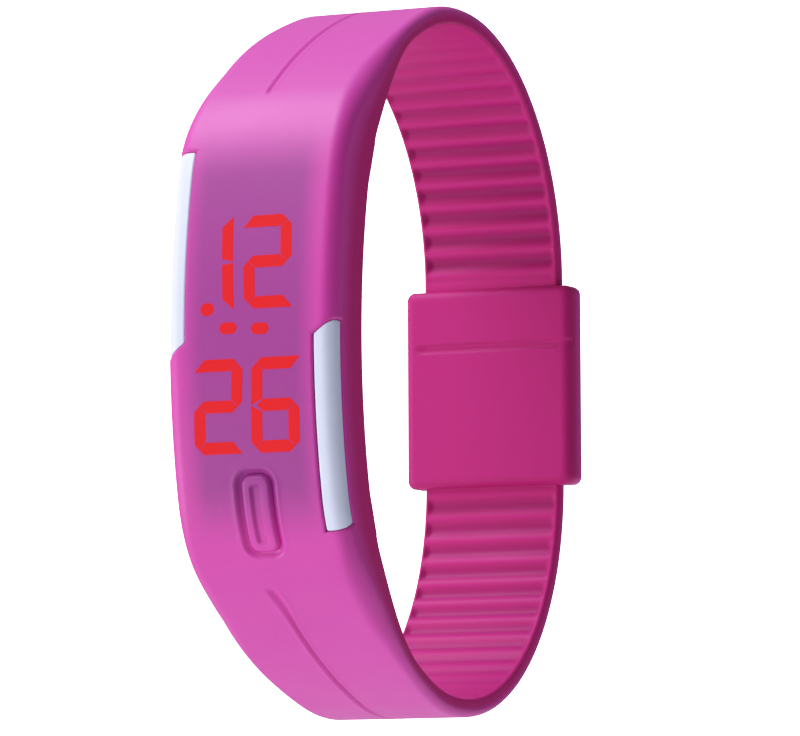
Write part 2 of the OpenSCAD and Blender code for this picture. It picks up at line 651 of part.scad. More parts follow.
// two bowed leaves that press on the outer flat side of the tongue
module spring_slots(g) {
    for (x = [-3.4, 3.4]) translate([x - 1 - g, SPRING_Y - g, SPRING_Z - g])
        cube([2 + 2 * g, SPRING_T + 2 * g, 4.6 + 2 * g]);
}
module latch_springs() {
    color([0.8, 0.8, 0.82]) for (x = [-3.4, 3.4]) translate([x - 1, 0, 0])
        rotate([90, 0, 90]) linear_extrude(2) translate([SPRING_Y, SPRING_Z]) polygon([
            [0, 0], [SPRING_T, 0], [SPRING_T, 1], [0.03, 2.3], [SPRING_T, 3.6],
            [SPRING_T, 4.6], [0, 4.6], [0, 3.4], [-0.17, 2.5], [-0.17, 2.1], [0, 1.2]]);
}

band_sleeve();
module_shell();
back_cover();
back_seal();
back_screws();
left_side_trim();
right_side_trim();
light_mask();
hour_digits();
minute_digits();
colon_dots();
indicator_dot();
unlit_segments();
circuit_board();
led_chips();
controller_chip();
quartz_crystal();
board_parts();
coin_cell();
battery_clip();
battery_contact();
switch_flex();
switch_base();
touch_pad();
key_plunger();
switch_plunger();
upper_strap();
plug_cover_inner();
plug_cover_outer();
plug_tongue();
plug_strap_pin();
lower_strap();
socket_cover_inner();
socket_cover_outer();
socket_strap_pin();
latch_springs();
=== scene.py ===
"""Silicone fitness tracker band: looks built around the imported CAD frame.

Lengths inside the helpers are in millimetres, as in the CAD; MM turns them into metres.
The band's outer face is one path of tangent arcs. s is the length along it from the middle
of the display, positive upwards; d is the depth below the outer face; x runs across the strap.
"""

import math

import bmesh
import bpy
import numpy as np
from mathutils import Matrix, Vector


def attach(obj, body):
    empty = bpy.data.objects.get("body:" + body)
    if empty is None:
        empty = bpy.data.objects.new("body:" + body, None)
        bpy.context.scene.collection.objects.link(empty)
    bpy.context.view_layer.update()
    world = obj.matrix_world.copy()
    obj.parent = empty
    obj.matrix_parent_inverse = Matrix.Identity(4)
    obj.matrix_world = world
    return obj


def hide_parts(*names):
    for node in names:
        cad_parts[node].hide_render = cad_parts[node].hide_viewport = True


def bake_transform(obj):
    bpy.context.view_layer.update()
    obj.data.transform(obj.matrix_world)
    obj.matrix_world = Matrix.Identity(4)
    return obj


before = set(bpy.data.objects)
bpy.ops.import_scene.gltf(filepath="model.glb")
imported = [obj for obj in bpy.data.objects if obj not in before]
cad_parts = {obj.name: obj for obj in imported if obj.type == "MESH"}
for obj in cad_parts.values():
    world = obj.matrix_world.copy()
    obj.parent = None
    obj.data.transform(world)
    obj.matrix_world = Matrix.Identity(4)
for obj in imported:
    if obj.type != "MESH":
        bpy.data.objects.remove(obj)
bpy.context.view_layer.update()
MM = 0.001

# ---- the path -----------------------------------------------------------------------
ARC_R = np.array([86.3, 18.3, 70.0, 29.9])
ARC_A = np.radians([12.4, 39.1, 20.4, 108.1])
HEAD = np.concatenate([[0.0], np.cumsum(ARC_A)])
LEN = np.concatenate([[0.0], np.cumsum(ARC_R * ARC_A)])
YS = np.concatenate([[0.0], np.cumsum(ARC_R * (np.cos(HEAD[:-1]) - np.cos(HEAD[1:])))])
ZS = np.concatenate([[0.0], np.cumsum(ARC_R * (np.sin(HEAD[1:]) - np.sin(HEAD[:-1])))])
HALF_DEPTH = YS[4] / 2
REAR_S = LEN[4] + ZS[4]

POD_W, STRAP_W = 21.1, 18.0
POD_T, STRAP_T = 8.1, 2.2
TAPER_FROM, TAPER_LENGTH = 22.0, 27.5     # the stretch of path where the section thins
NARROW_Y = 26.0                           # the width narrows from y = -NARROW_Y to y = 0


def ramp(u):
    u = np.clip(u, 0.0, 1.0)
    return u * u * (3 - 2 * u)


def thick(s):
    return POD_T + (STRAP_T - POD_T) * ramp((np.abs(s) - TAPER_FROM) / TAPER_LENGTH)


def path(s, d=0.0, x=0.0):
    """Points at path length s, depth d and side position x, as an (n, 3) array in mm."""
    s, d, x = np.broadcast_arrays(*(np.asarray(v, float) for v in (s, d, x)))
    a = np.abs(s)
    i = np.clip(np.searchsorted(LEN, a, side="right") - 1, 0, 4)
    r = np.append(ARC_R, 1.0)[i]
    h = np.where(i < 4, HEAD[i] + (a - LEN[i]) / r, math.pi)
    y = np.where(i < 4, YS[i] + r * (np.cos(HEAD[i]) - np.cos(h)), YS[4])
    z = np.where(i < 4, ZS[i] + r * (np.sin(h) - np.sin(HEAD[i])), ZS[4] - (a - LEN[4]))
    y = y - HALF_DEPTH + d * np.cos(h)
    z = (z - d * np.sin(h)) * np.where(s < 0, -1, 1)
    return np.stack([x, y, z], axis=-1)


def half_width(y):
    return (POD_W + (STRAP_W - POD_W) * ramp((y + NARROW_Y) / NARROW_Y)) / 2


def make(name, verts, faces):
    """A mesh object from points in mm."""
    me = bpy.data.meshes.new(name)
    me.from_pydata((np.asarray(verts, float) * MM).tolist(), [], [list(f) for f in faces])
    me.validate()
    me.update()
    for p in me.polygons:
        p.use_smooth = True
    ob = bpy.data.objects.new(name, me)
    bpy.context.scene.collection.objects.link(ob)
    return ob


def tidy_faces(ob):
    """Splits the many-sided caps and turns every face outwards."""
    bm = bmesh.new()
    bm.from_mesh(ob.data)
    bmesh.ops.triangulate(bm, faces=[f for f in bm.faces if len(f.verts) > 4])
    bmesh.ops.recalc_face_normals(bm, faces=bm.faces)
    bm.to_mesh(ob.data)
    bm.free()


def grid_faces(rows, cols):
    """Four-sided faces between closed rows of cols points each."""
    faces = []
    for i in range(rows - 1):
        for j in range(cols):
            k = (j + 1) % cols
            faces.append((i * cols + j, (i + 1) * cols + j, (i + 1) * cols + k, i * cols + k))
    return faces


# ---- features on the display face ------------------------------------------------------
KEY_S = -20.6               # the middle of the touch key
KEY_HALF = (2.68, 5.45)     # half width and half length of its groove's outer outline
KEY_R = 2.0
GROOVE_W = 1.25
GROOVE_D = 0.54
PAD_BED = 1.3               # depth of the band's own surface under the pad
PAD_INSET = 0.75            # from the groove's outer outline to the pad's edge
NOTCH_LOW, NOTCH_TOP = -22.9, 1.25
NOTCH_LEAN, LEAN_REACH = 1.7, 6.5
EDGE_R = 0.35               # rounding of the silicone at a notch's ends
TRIM_SHIFT = 1.05           # the left trim is the right one turned half round, lower by this
TRIM_SUNK = 0.15
FLAT_HALF = 7.6             # half width of the face's middle columns; the corner's points begin here
INNER_EDGE = 8.85           # the wrist side's outermost column, before it is fitted to a row's width
INNER_FILLET = 0.42
WINDOW_HALF = (7.3, 24.42)  # half width and half length of the recess that shows the back cover
WINDOW_D = 1.05
RIB_UPPER, RIB_LOWER = 0.62, 0.46
RIB_PITCH, RIB_MIDDLE = 3.1, 109.5
RIB_FROM, RIB_END = 70.0, 112.2
JOIN = 28.5                 # where the display section's skin meets the strap halves


def key_distance(x, s):
    """Signed distance to the outer outline of the key's groove; negative inside."""
    qx = np.abs(x) - (KEY_HALF[0] - KEY_R)
    qs = np.abs(s - KEY_S) - (KEY_HALF[1] - KEY_R)
    out = np.hypot(np.maximum(qx, 0), np.maximum(qs, 0))
    return out + np.minimum(np.maximum(qx, qs), 0) - KEY_R


def key_depth(x, s):
    """Depth of the band's own surface in and under the touch key."""
    t = key_distance(x, s)
    u = np.clip(-t / (GROOVE_W / 2), 0, 1)
    groove = GROOVE_D * ramp(u)
    under = PAD_BED * ramp((-t - GROOVE_W / 2) / 0.45)
    lip = -0.04 * np.exp(-((t - 0.08) / 0.16) ** 2)
    return np.where(t < 0, np.maximum(groove, under), 0.0) + lip * (t > -0.3)


def crease_depth(x, s):
    """A soft groove along the middle, blunt where it starts and fading towards the clasp."""
    a = np.abs(s)
    low = s < 0
    x0 = np.where(low, -0.6 - 0.5 * ramp((34.0 - a) / 4.0), -1.25)
    wide = np.where(low, 0.42 + 0.4 * ramp((38.0 - a) / 8.0), 0.42)
    deep = np.where(low, 0.34, 0.2) * ramp((a - 30.0) / 1.2) * (1 - ramp((a - 52.0) / 22.0))
    u = np.abs(x - x0)
    v = np.clip(1 - u / wide, 0, 1)
    return deep * ramp(v) - 0.14 * deep * np.exp(-((u - wide - 0.12) / 0.25) ** 2)


def slant(x):
    """How far the notch's slanted end leans, at side position x (right side)."""
    lean = -NOTCH_LEAN * np.clip((10.2 - x) / 2.2, 0, 1)
    return lean * ramp((x - 3.0) / 5.0)


def warp(x, s):
    """Moves the rows near a notch's slanted end so that they run along it."""
    def right(x, s):
        win = np.clip(1 - np.abs(s - NOTCH_TOP) / LEAN_REACH, 0, 1) ** 2
        return slant(x) * win
    return s + right(x, s) - right(-x, -s - TRIM_SHIFT)


def rib_depth(x, s):
    """Grip grooves across the wrist side."""
    a = np.abs(s)
    fade = ramp((a - RIB_FROM) / 30.0) ** 0.8
    deep = np.where(s > 0, RIB_UPPER, RIB_LOWER) * fade * ramp((RIB_END - a) / 1.2)
    wave = 0.5 + 0.5 * np.cos(2 * math.pi * (a - RIB_MIDDLE) / RIB_PITCH)
    return deep * wave * ramp((INNER_EDGE - np.abs(x)) / 0.9)


# ---- band skin ---------------------------------------------------------------------------
FACE_X = np.unique(np.round(np.concatenate([
    np.arange(-FLAT_HALF, -3.0, 0.46), np.arange(-3.0, 3.01, 0.15), -np.arange(-FLAT_HALF, -3.0, 0.46),
    np.arange(-0.9, 0.91, 0.1)]), 3))
FACE_X = FACE_X[np.concatenate([[True], np.diff(FACE_X) > 0.04])]
N_LINE, N_ARC, N_SIDE, N_WALL, N_FILLET = 4, 9, 7, 5, 7     # points on each stretch of a row
SPREAD = 1.25                # how far in from the edge the wrist side's columns spread
INNER_HALF = [INNER_EDGE, 8.7, 8.5, 8.3, 8.1, 7.9, 7.6, 7.42, 7.35, 7.28, 7.1, 6.5, 5, 3, 1]
INNER_X = np.array(INNER_HALF + [0] + [-q for q in INNER_HALF[::-1]])
NOTCH_SHAPE = [(FLAT_HALF, 0), (7.72, 0), (7.86, 0.03), (7.97, 0.12), (8.0, 0.3), (8.0, 0.9),
               (8.02, 1.2), (8.4, 1.25), (8.68, 1.25), (8.7, 1.3), (8.7, 1.9), (8.7, 2.5),
               (8.72, 2.55), (9.3, 2.55), (9.9, 2.55), (None, 2.55, 0.3), (None, 2.58, 0.14),
               (None, 2.68, 0.04), (None, 2.85, 0), (None, 3.0, 0)]


def corner(s, w, th):
    """The plain rounded corner from FLAT_HALF round to the side wall: (x, d) pairs."""
    r = 1.7 + 0.5 * ramp((abs(s) - 23.0) / 9.0) - 1.5 * ramp((abs(s) - 42.0) / 34.0)
    dc = min(3.0, 0.5 * th)
    r = min(r, dc * 0.9)
    pts = [(FLAT_HALF + (w - r - FLAT_HALF) * k / N_LINE, 0.0) for k in range(N_LINE)]
    for k in range(N_ARC):
        a = math.pi / 2 * k / (N_ARC - 1)
        pts.append((w - r + r * math.sin(a), r - r * math.cos(a)))
    pts += [(w, r + (dc - r) * (k + 1) / N_SIDE) for k in range(N_SIDE)]
    return pts


def notched(w):
    """The notch's outline at half width w; entries that start with None count from the wall."""
    return [(w - p[2], p[1]) if p[0] is None else p for p in NOTCH_SHAPE]


def edge_drop(t):
    """How far the silicone's rounded edge lies below its face, t past a notch's end."""
    if t <= 0 or t >= EDGE_R:
        return 0.0
    return EDGE_R - math.sqrt(max(0.0, EDGE_R * EDGE_R - (EDGE_R - t) ** 2))


def side_points(s, w, th, with_notch):
    """Right hand corner of one row, with the notch where it lies."""
    plain = corner(s, w, th)
    if not with_notch:
        return plain
    if NOTCH_LOW < s < NOTCH_TOP:
        return notched(w)
    t = s - NOTCH_TOP if s >= NOTCH_TOP else NOTCH_LOW - s
    e = edge_drop(t if t > 0 else 1e-4)
    if e == 0.0:
        return plain
    out = []
    for k, (px, pd) in enumerate(plain):
        keep = min(1.0, max(0.0, (px - 7.75) / 0.3)) * min(1.0, max(0.0, (2.75 - pd) / 0.3))
        nx, nd = 0.0, 1.0
        if pd > 0:
            nx, nd = -min(1.0, pd / 1.7), max(0.0, 1 - pd / 1.7)
        out.append((px + nx * e * keep, pd + nd * e * keep))
    return out


def skin_row(s, with_notch):
    """One closed cross-section of the band at row s, as arrays of x, s, d."""
    th = float(thick(s))
    w = float(half_width(path(s, 0.3 * th)[1]))
    right = side_points(s, w, th, with_notch)
    left = side_points(-s - TRIM_SHIFT, w, th, with_notch)
    xs = list(FACE_X) + [p[0] for p in right[1:]]
    ds = [0.0] * len(FACE_X) + [p[1] for p in right[1:]]
    low = right[-1][1]
    ri = INNER_FILLET
    for k in range(1, N_WALL + 1):
        xs.append(w)
        ds.append(low + (th - ri - low) * k / (N_WALL + 1))
    for k in range(N_FILLET):
        a = math.pi / 2 * k / (N_FILLET - 1)
        xs.append(w - ri + ri * math.cos(a))
        ds.append(th - ri + ri * math.sin(a))
    for q in INNER_X:                     # the outermost columns spread with the width
        far = max(0.0, abs(q) - FLAT_HALF) / SPREAD
        xs.append(float(np.sign(q)) * (abs(q) + far * (w - ri - 0.05 - INNER_EDGE)))
        ds.append(th)
    for k in range(N_FILLET):
        a = math.pi / 2 * (1 - k / (N_FILLET - 1))
        xs.append(-(w - ri + ri * math.cos(a)))
        ds.append(th - ri + ri * math.sin(a))
    for k in range(1, N_WALL + 1):
        xs.append(-w)
        ds.append(th - ri + (left[-1][1] - th + ri) * k / (N_WALL + 1))
    xs += [-p[0] for p in left[:0:-1]]
    ds += [p[1] for p in left[:0:-1]]
    x, d = np.array(xs), np.array(ds)
    ss = np.full(len(x), float(s))
    nf = len(FACE_X)
    d[:nf] += key_depth(x[:nf], ss[:nf]) + crease_depth(x[:nf], ss[:nf])
    first = nf + len(right) - 1 + N_WALL + N_FILLET
    inner = slice(first, first + len(INNER_X))
    window = (np.abs(x[inner]) < WINDOW_HALF[0]) & (abs(s) < WINDOW_HALF[1])
    d[inner] -= rib_depth(x[inner], ss[inner]) + np.where(window, WINDOW_D, 0.0)
    # the width follows the plan outline at each point's own y
    y = path(ss, d)[:, 1]
    wide = np.abs(x) > FLAT_HALF
    x = np.where(wide, np.sign(x) * (np.abs(x) + half_width(y) - w), x) if not with_notch else x
    return x, ss, d


def rows_between(a, b, step_at, extra):
    """Row positions from a to b, with the extra ones and without near doubles."""
    s, out = a, [a]
    while s < b - 1e-6:
        s = min(b, s + step_at(s))
        out.append(s)
    out += [e for e in extra if a < e < b]
    out = sorted(out)
    keep = [out[0]]
    for v in out[1:]:
        if v - keep[-1] > 0.008:
            keep.append(v)
    return keep


def band_skin(name, rows, with_notch):
    """One stretch of the band, with masks for the painted shade and pink bounce light on the wrist side and
    the painted shade in the rib grooves.
    """
    pts, cols, wrist, groove = [], None, [], []
    for s in rows:
        x, ss, d = skin_row(s, with_notch)
        cols = len(x)
        th = float(thick(s))
        ribs = rib_depth(x, ss)
        # inner marks how far a point lies on the wrist side; it drives that side's painted shade and pink
        # bounce light
        inner = ramp(((d + ribs) / th - 0.22) / 0.45)
        wrist.append(inner)
        # painted shade in the rib valleys: the groove mark is strongest where the ribs are deepest
        groove.append(inner * ribs / RIB_UPPER)
        sw = warp(x, ss) if with_notch else ss
        pts.append(path(sw, d, x))
    faces = grid_faces(len(rows), cols)
    verts, marks = np.concatenate(pts), [np.concatenate(wrist), np.concatenate(groove)]
    for k, flip in ((0, False), (len(rows) - 1, True)):     # end caps on their own vertices
        base = len(verts)
        verts = np.concatenate([verts, verts[k * cols:(k + 1) * cols]])
        marks = [np.concatenate([m, m[k * cols:(k + 1) * cols]]) for m in marks]
        loop = list(range(base, base + cols))
        faces.append(loop[::-1] if flip else loop)
    ob = make(name, verts, faces)
    ob.data.polygons[-1].use_smooth = False
    ob.data.polygons[-2].use_smooth = False
    tidy_faces(ob)
    for label, m in zip(("wrist_side_shade", "groove"), marks):
        at = ob.data.attributes.new(label, "FLOAT", "POINT")
        at.data.foreach_set("value", m.astype(np.float32))
    return ob


def front_step(s):
    """Finer rows across the touch key."""
    return 0.2 if -27.0 <= s <= -14.4 else 0.55


NOTCH_ENDS = (NOTCH_LOW, NOTCH_TOP, -NOTCH_LOW - TRIM_SHIFT, -NOTCH_TOP - TRIM_SHIFT)
NOTCH_STEPS = (0.01, 0.04, 0.08, 0.16, 0.26, 0.36)
NOTCH_MARKS = [end + sign * q for end in NOTCH_ENDS for sign in (-1, 1) for q in NOTCH_STEPS]
WINDOW_MARKS = [q * m for q in (-1, 1) for m in (WINDOW_HALF[1] - 0.04, WINDOW_HALF[1] + 0.04)]
JOIN_MARKS = [q * m for q in (-1, 1) for m in (JOIN - 0.02, JOIN + 0.02)]
skin_pod = band_skin("band_front", rows_between(-JOIN, JOIN, front_step,
                                                NOTCH_MARKS + WINDOW_MARKS + JOIN_MARKS), True)


def strap_step(s):
    """Finer rows along the ribs and where the middle crease starts."""
    a = abs(s)
    return 0.2 if a > 66 or a < 33 else 0.7


UPPER_END, LOWER_END = REAR_S - 8.3, REAR_S - 5.1
skin_upper = band_skin("band_upper_half", rows_between(JOIN, UPPER_END, strap_step, JOIN_MARKS),
                       False)
low_rows = rows_between(JOIN, LOWER_END, strap_step, JOIN_MARKS)
skin_lower = band_skin("band_lower_half", [-s for s in low_rows[::-1]], False)

# ---- touch key pad ---------------------------------------------------------------------------


def rounded_outline(hx, hy, r):
    """A rounded rectangle, with points along its straight sides too."""
    n = 10
    pts = []
    for cx, cy, a0 in ((1, 1, 0), (-1, 1, 90), (-1, -1, 180), (1, -1, 270)):
        for k in range(n + 1):
            a = math.radians(a0 + 90 * k / n)
            pts.append((cx * (hx - r) + r * math.cos(a), cy * (hy - r) + r * math.sin(a)))
    out = []
    m = len(pts)
    for k in range(m):                                   # extra points along the straights
        p, q = np.array(pts[k]), np.array(pts[(k + 1) % m])
        steps = max(1, int(np.hypot(*(q - p)) / 0.35)) if k % (n + 1) == n else 1
        for j in range(steps):
            out.append(p + (q - p) * j / steps)
    return np.array(out)


def touch_pad():
    hx, hy, r = KEY_HALF[0] - PAD_INSET, KEY_HALF[1] - PAD_INSET, KEY_R - PAD_INSET
    base = rounded_outline(hx, hy, r)
    n = len(base)
    insets = [0, 0, 0.03, 0.09, 0.18, 0.3, 0.42, 0.55, 0.75, 0.95]
    insets += [hx - q for q in (0.88, 0.8, 0.72, 0.64, 0.56, 0.48, 0.4, 0.3, 0.15)]
    verts = []
    for k, i in enumerate(insets):
        # pull every outline point towards the middle line by the inset
        mid = np.stack([np.zeros(n), np.clip(base[:, 1], -(hy - hx), hy - hx)], axis=1)
        p = mid + (base - mid) * (1 - i / hx)
        if k == 0:
            d = np.full(n, 0.86)
        else:
            d = np.full(n, 0.62 * (1 - min(1.0, i / 0.5)) ** 1.9 - 0.02)
        d = d + 0.36 * ramp((0.84 - (hx - i)) / 0.46)             # the shallow slot
        verts.append(path(KEY_S + p[:, 1], d, p[:, 0]))
    rows = len(insets)
    faces = grid_faces(rows, n)
    faces.append(list(range((rows - 1) * n, rows * n)))
    faces.append(list(range(n))[::-1])
    ob = make("touch_key_pad", np.concatenate(verts), faces)
    tidy_faces(ob)
    return ob


pad = touch_pad()

# ---- white side trims ------------------------------------------------------------------------


def trim(name, left):
    w = POD_W / 2 - TRIM_SUNK
    top, r = TRIM_SUNK, 1.5
    section = [(8.1, 1.2), (8.1, 0.5)]
    section += [(8.1 + 0.24 * (1 - math.cos(a)), top + 0.24 * (1 - math.sin(a)))
                for a in np.radians([15, 35, 55, 75, 90])]
    section += [(8.34 + (w - r - 8.34) * k / 4, top) for k in range(1, 4)]
    section += [(w - r + r * math.sin(a), top + r - r * math.cos(a))
                for a in np.radians(np.linspace(0, 90, 13))]
    section += [(w, top + r + 0.3), (w, 2.3), (w - 0.03, 2.4), (w - 0.14, 2.45), (9.4, 2.45),
                (8.78, 2.45), (8.78, 1.2)]
    section = np.array(section)
    mid = np.array([9.4, 1.3])
    s_rows = [NOTCH_LOW + q for q in (0.06, 0.08, 0.12, 0.18, 0.28)]
    s_rows += list(np.arange(NOTCH_LOW + 0.6, NOTCH_TOP - 0.4, 0.6))
    s_rows += [NOTCH_TOP - q for q in (0.28, 0.18, 0.12, 0.08, 0.06)]
    shrink = {0: 0.2, 1: 0.12, 2: 0.06, 3: 0.02}
    verts = []
    for k, s in enumerate(s_rows):
        e = shrink.get(k, shrink.get(len(s_rows) - 1 - k, 0.0))
        v = mid - section
        p = section + v / np.linalg.norm(v, axis=1)[:, None] * e
        sw = warp(p[:, 0], np.full(len(p), s))
        if left:
            verts.append(path(-sw - TRIM_SHIFT, p[:, 1], -p[:, 0]))
        else:
            verts.append(path(sw, p[:, 1], p[:, 0]))
    n = len(section)
    faces = grid_faces(len(s_rows), n)
    faces.append(list(range(n)))
    faces.append(list(range((len(s_rows) - 1) * n, len(s_rows) * n))[::-1])
    ob = make(name, np.concatenate(verts), faces)
    tidy_faces(ob)
    return ob


trim_right = trim("side_trim_right", False)
trim_left = trim("side_trim_left", True)

# ---- digits ------------------------------------------------------------------------------------
DIGIT_H, DIGIT_W, STROKE, CHAMFER = 10.8, 6.1, 1.45, 1.2


def digit_two(w, h, t, c):
    m = h / 2
    return [
        [(0, h - t), (c, h), (w - c, h), (w - c / 2, h - c / 2), (w - t, h - t)],
        [(w - t, h - t), (w - c / 2, h - c / 2), (w, h - c), (w, m - t / 2 + c),
         (w - c / 2, m - t / 2 + c / 2), (w - t, m + t / 2)],
        [(c / 2, m + t / 2 - c / 2), (c, m + t / 2), (w - t, m + t / 2),
         (w - c / 2, m - t / 2 + c / 2), (w - c, m - t / 2), (t, m - t / 2)],
        [(t, m - t / 2), (c / 2, m + t / 2 - c / 2), (0, m + t / 2 - c), (0, c),
         (c / 2, c / 2), (t, t)],
        [(t, t), (c / 2, c / 2), (c, 0), (w, 0), (w - c, t)]]


def digit_six(w, h, t, c):
    m = h / 2
    return [
        [(t, h - t), (c / 2, h - c / 2), (c, h), (w, h), (w - c, h - t)],
        [(t, h - t), (t, m + t / 2), (0, m), (0, h - c), (c / 2, h - c / 2)],
        [(t, m + t / 2), (w - c, m + t / 2), (w - c / 2, m + t / 2 - c / 2), (w - t, m - t / 2),
         (t, m - t / 2), (t / 2, m)],
        [(0, m), (t, m - t / 2), (t, t), (c / 2, c / 2), (0, c)],
        [(w - c / 2, m + t / 2 - c / 2), (w, m + t / 2 - c), (w, c), (w - c / 2, c / 2),
         (w - t, t), (w - t, m - t / 2)],
        [(t, t), (c / 2, c / 2), (c, 0), (w - c, 0), (w - c / 2, c / 2), (w - t, t)]]


def digit_one(w, h, t, c):
    m = h / 2
    return [[(0, h - c), (t, h), (t, m + 0.12), (0, m + 0.5)],
            [(0, m - 0.12), (t, m + 0.02), (t, 0), (0, c)]]


PLATE_UP, PLATE_DOWN = 0.02, 0.25


def plates(name, polys):
    """Thin plates that lie on the display face; polys are in x and s, in mm."""
    bm = bmesh.new()
    for poly in polys:
        p = np.array(poly, float)
        c = p.mean(axis=0)
        size = p.max(axis=0) - p.min(axis=0)
        p = c + (p - c) * (1 - 0.07 / size)
        top = [bm.verts.new((q[0], q[1], 0)) for q in p]
        f = bm.faces.new(top)
        low = bmesh.ops.extrude_face_region(bm, geom=[f])
        for v in (g for g in low["geom"] if isinstance(g, bmesh.types.BMVert)):
            v.co.z = -1
    bm.normal_update()
    lo = min(v.co.y for v in bm.verts)
    hi = max(v.co.y for v in bm.verts)
    for y in np.arange(lo + 0.45, hi, 0.45):
        bmesh.ops.bisect_plane(bm, geom=bm.verts[:] + bm.edges[:] + bm.faces[:],
                               plane_co=(0, y, 0), plane_no=(0, 1, 0))
    for v in bm.verts:
        d = -PLATE_UP if v.co.z > -0.5 else PLATE_DOWN
        q = path(v.co.y, d, v.co.x) * MM
        v.co = Vector(q.tolist())
    bmesh.ops.recalc_face_normals(bm, faces=bm.faces)
    me = bpy.data.meshes.new(name)
    bm.to_mesh(me)
    bm.free()
    ob = bpy.data.objects.new(name, me)
    bpy.context.scene.collection.objects.link(ob)
    return ob


def placed(polys, x, s, lean):
    """Moves outlines to x and s, and shears them sideways by lean."""
    return [[(px + x + lean * py, py + s) for px, py in p] for p in polys]


HOUR_LEAN, MINUTE_LEAN = -0.046, 0.048
one = placed(digit_one(DIGIT_W, DIGIT_H, STROKE, CHAMFER), -3.2, 2.75, HOUR_LEAN)
two_h = placed(digit_two(DIGIT_W, DIGIT_H, STROKE, CHAMFER), -0.5, 2.75, HOUR_LEAN)
two_m = placed(digit_two(DIGIT_W, DIGIT_H, STROKE, CHAMFER), -7.25, -13.55, MINUTE_LEAN)
six_m = placed(digit_six(DIGIT_W, DIGIT_H, STROKE, CHAMFER), -0.07, -13.55, MINUTE_LEAN)


def oval(x, s, hx, hs):
    """A flat-sided oval of half width hx and half height hs."""
    n = 28
    r = min(hx, hs)
    return [(x + math.copysign(max(0, hx - r), math.cos(a)) + r * math.cos(a),
             s + r * math.sin(a)) for a in np.linspace(0, 2 * math.pi, n, endpoint=False)]


digits_h = plates("hour_digit_glow", one + two_h)
digits_m = plates("minute_digit_glow", two_m + six_m)
dots = plates("colon_dot_glow", [oval(-2.5, 0.7, 1.12, 0.7), oval(1.5, 0.5, 1.12, 0.7)])
mark = plates("indicator_dot_glow", [oval(-5.15, 2.95, 0.88, 0.78)])

# ---- clasp -----------------------------------------------------------------------------------------
CLASP_HW = 11.1
REAR_Y = HALF_DEPTH
CLASP_IN, CLASP_OUT = REAR_Y - STRAP_T - 1.3, REAR_Y + 1.0
CLASP_TOP, CLASP_BOTTOM, SEAM, SEAM_GAP = 11.7, -12.8, 4.5, 0.006
FILLET = 1.15
CORNER_POINTS, SIDE_POINTS = 9, 44


def clasp_outline(e, z0, z1, seam_low):
    """Outline in x and z, pulled in by e; the seam edge stays put until e passes the fillet."""
    es = max(0.0, e - FILLET)
    lo, hi = (z0 + es, z1 - e) if seam_low else (z0 + e, z1 - es)
    hx = CLASP_HW - e
    pts = []
    for cx, top, a0 in ((1, True, 0), (-1, True, 90), (-1, False, 180), (1, False, 270)):
        r = 0.05 if top != seam_low else max(0.3, 1.0 - 0.5 * e)
        for k in range(CORNER_POINTS):
            a = math.radians(a0 + 90 * k / (CORNER_POINTS - 1))
            pts.append((cx * (hx - r) + r * math.cos(a),
                        (hi - r if top else lo + r) + r * math.sin(a)))
    out = []
    for k, p in enumerate(pts):
        q = pts[(k + 1) % len(pts)]
        n = SIDE_POINTS if k % CORNER_POINTS == CORNER_POINTS - 1 else 1
        out += [(p[0] + (q[0] - p[0]) * j / n, p[1] + (q[1] - p[1]) * j / n) for j in range(n)]
    return np.array(out)


def clasp_part(name, z0, z1, seam_low):
    steps = np.radians([0, 11, 22, 33, 45, 57, 68, 79, 90])
    caps = [3.0, 2.2, 1.95, 1.85, 1.75, 1.65, 1.55, 1.4, 1.25, 1.18, 1.155]
    rows = [(e, 0.0) for e in caps]
    rows += [(FILLET * (1 - math.sin(a)), FILLET * (1 - math.cos(a))) for a in steps]
    deep = CLASP_OUT - CLASP_IN
    rows += [(0.0, FILLET + (deep - 2 * FILLET) * k / 4) for k in (1, 2, 3)]
    rows += [(FILLET * (1 - math.sin(a)), deep - FILLET * (1 - math.cos(a)))
             for a in steps[::-1]]
    rows += [(e, deep) for e in caps[::-1]]
    verts = []
    for e, y in rows:
        o = clasp_outline(e, z0, z1, seam_low)
        inner = ramp((1.6 - y) / 0.6)                     # the seam channel on the wrist side
        channel = 0.32 * ramp(1 - (np.abs(o[:, 1] - SEAM) - 0.25) / 0.45)
        channel *= ramp((o[:, 0] + 9.8) / 1.6) * inner
        verts.append(np.stack([o[:, 0], CLASP_IN + y + channel, o[:, 1]], axis=1))
    n = len(verts[0])
    faces = grid_faces(len(rows), n)
    faces.append(list(range(n)))
    faces.append(list(range((len(rows) - 1) * n, len(rows) * n))[::-1])
    ob = make(name, np.concatenate(verts), faces)
    tidy_faces(ob)
    return ob


def carve(ob, lo, hi):
    """Cuts a box shaped pocket out of ob."""
    cutter = bpy.data.meshes.new("cutter")
    bm = bmesh.new()
    bmesh.ops.create_cube(bm, size=1.0)
    for v in bm.verts:
        v.co = Vector([(lo[k] + hi[k]) / 2 * MM + v.co[k] * (hi[k] - lo[k]) * MM for k in range(3)])
    bm.to_mesh(cutter)
    bm.free()
    tool = bpy.data.objects.new("cutter", cutter)
    bpy.context.scene.collection.objects.link(tool)
    mod = ob.modifiers.new("pocket", "BOOLEAN")
    mod.operation, mod.solver, mod.object = "DIFFERENCE", "EXACT", tool
    dg = bpy.context.evaluated_depsgraph_get()
    me = bpy.data.meshes.new_from_object(ob.evaluated_get(dg))
    ob.modifiers.clear()
    ob.data = me
    bpy.data.objects.remove(tool)


plug = clasp_part("clasp_plug_body", SEAM + SEAM_GAP, CLASP_TOP, True)
socket = clasp_part("clasp_socket_body", CLASP_BOTTOM, SEAM - SEAM_GAP, False)
MID_Y = REAR_Y - STRAP_T / 2
carve(socket, (-6.3, MID_Y - 0.75, SEAM - 6.8), (6.3, MID_Y + 0.75, SEAM + 2))

# ---- materials ------------------------------------------------------------------------------------


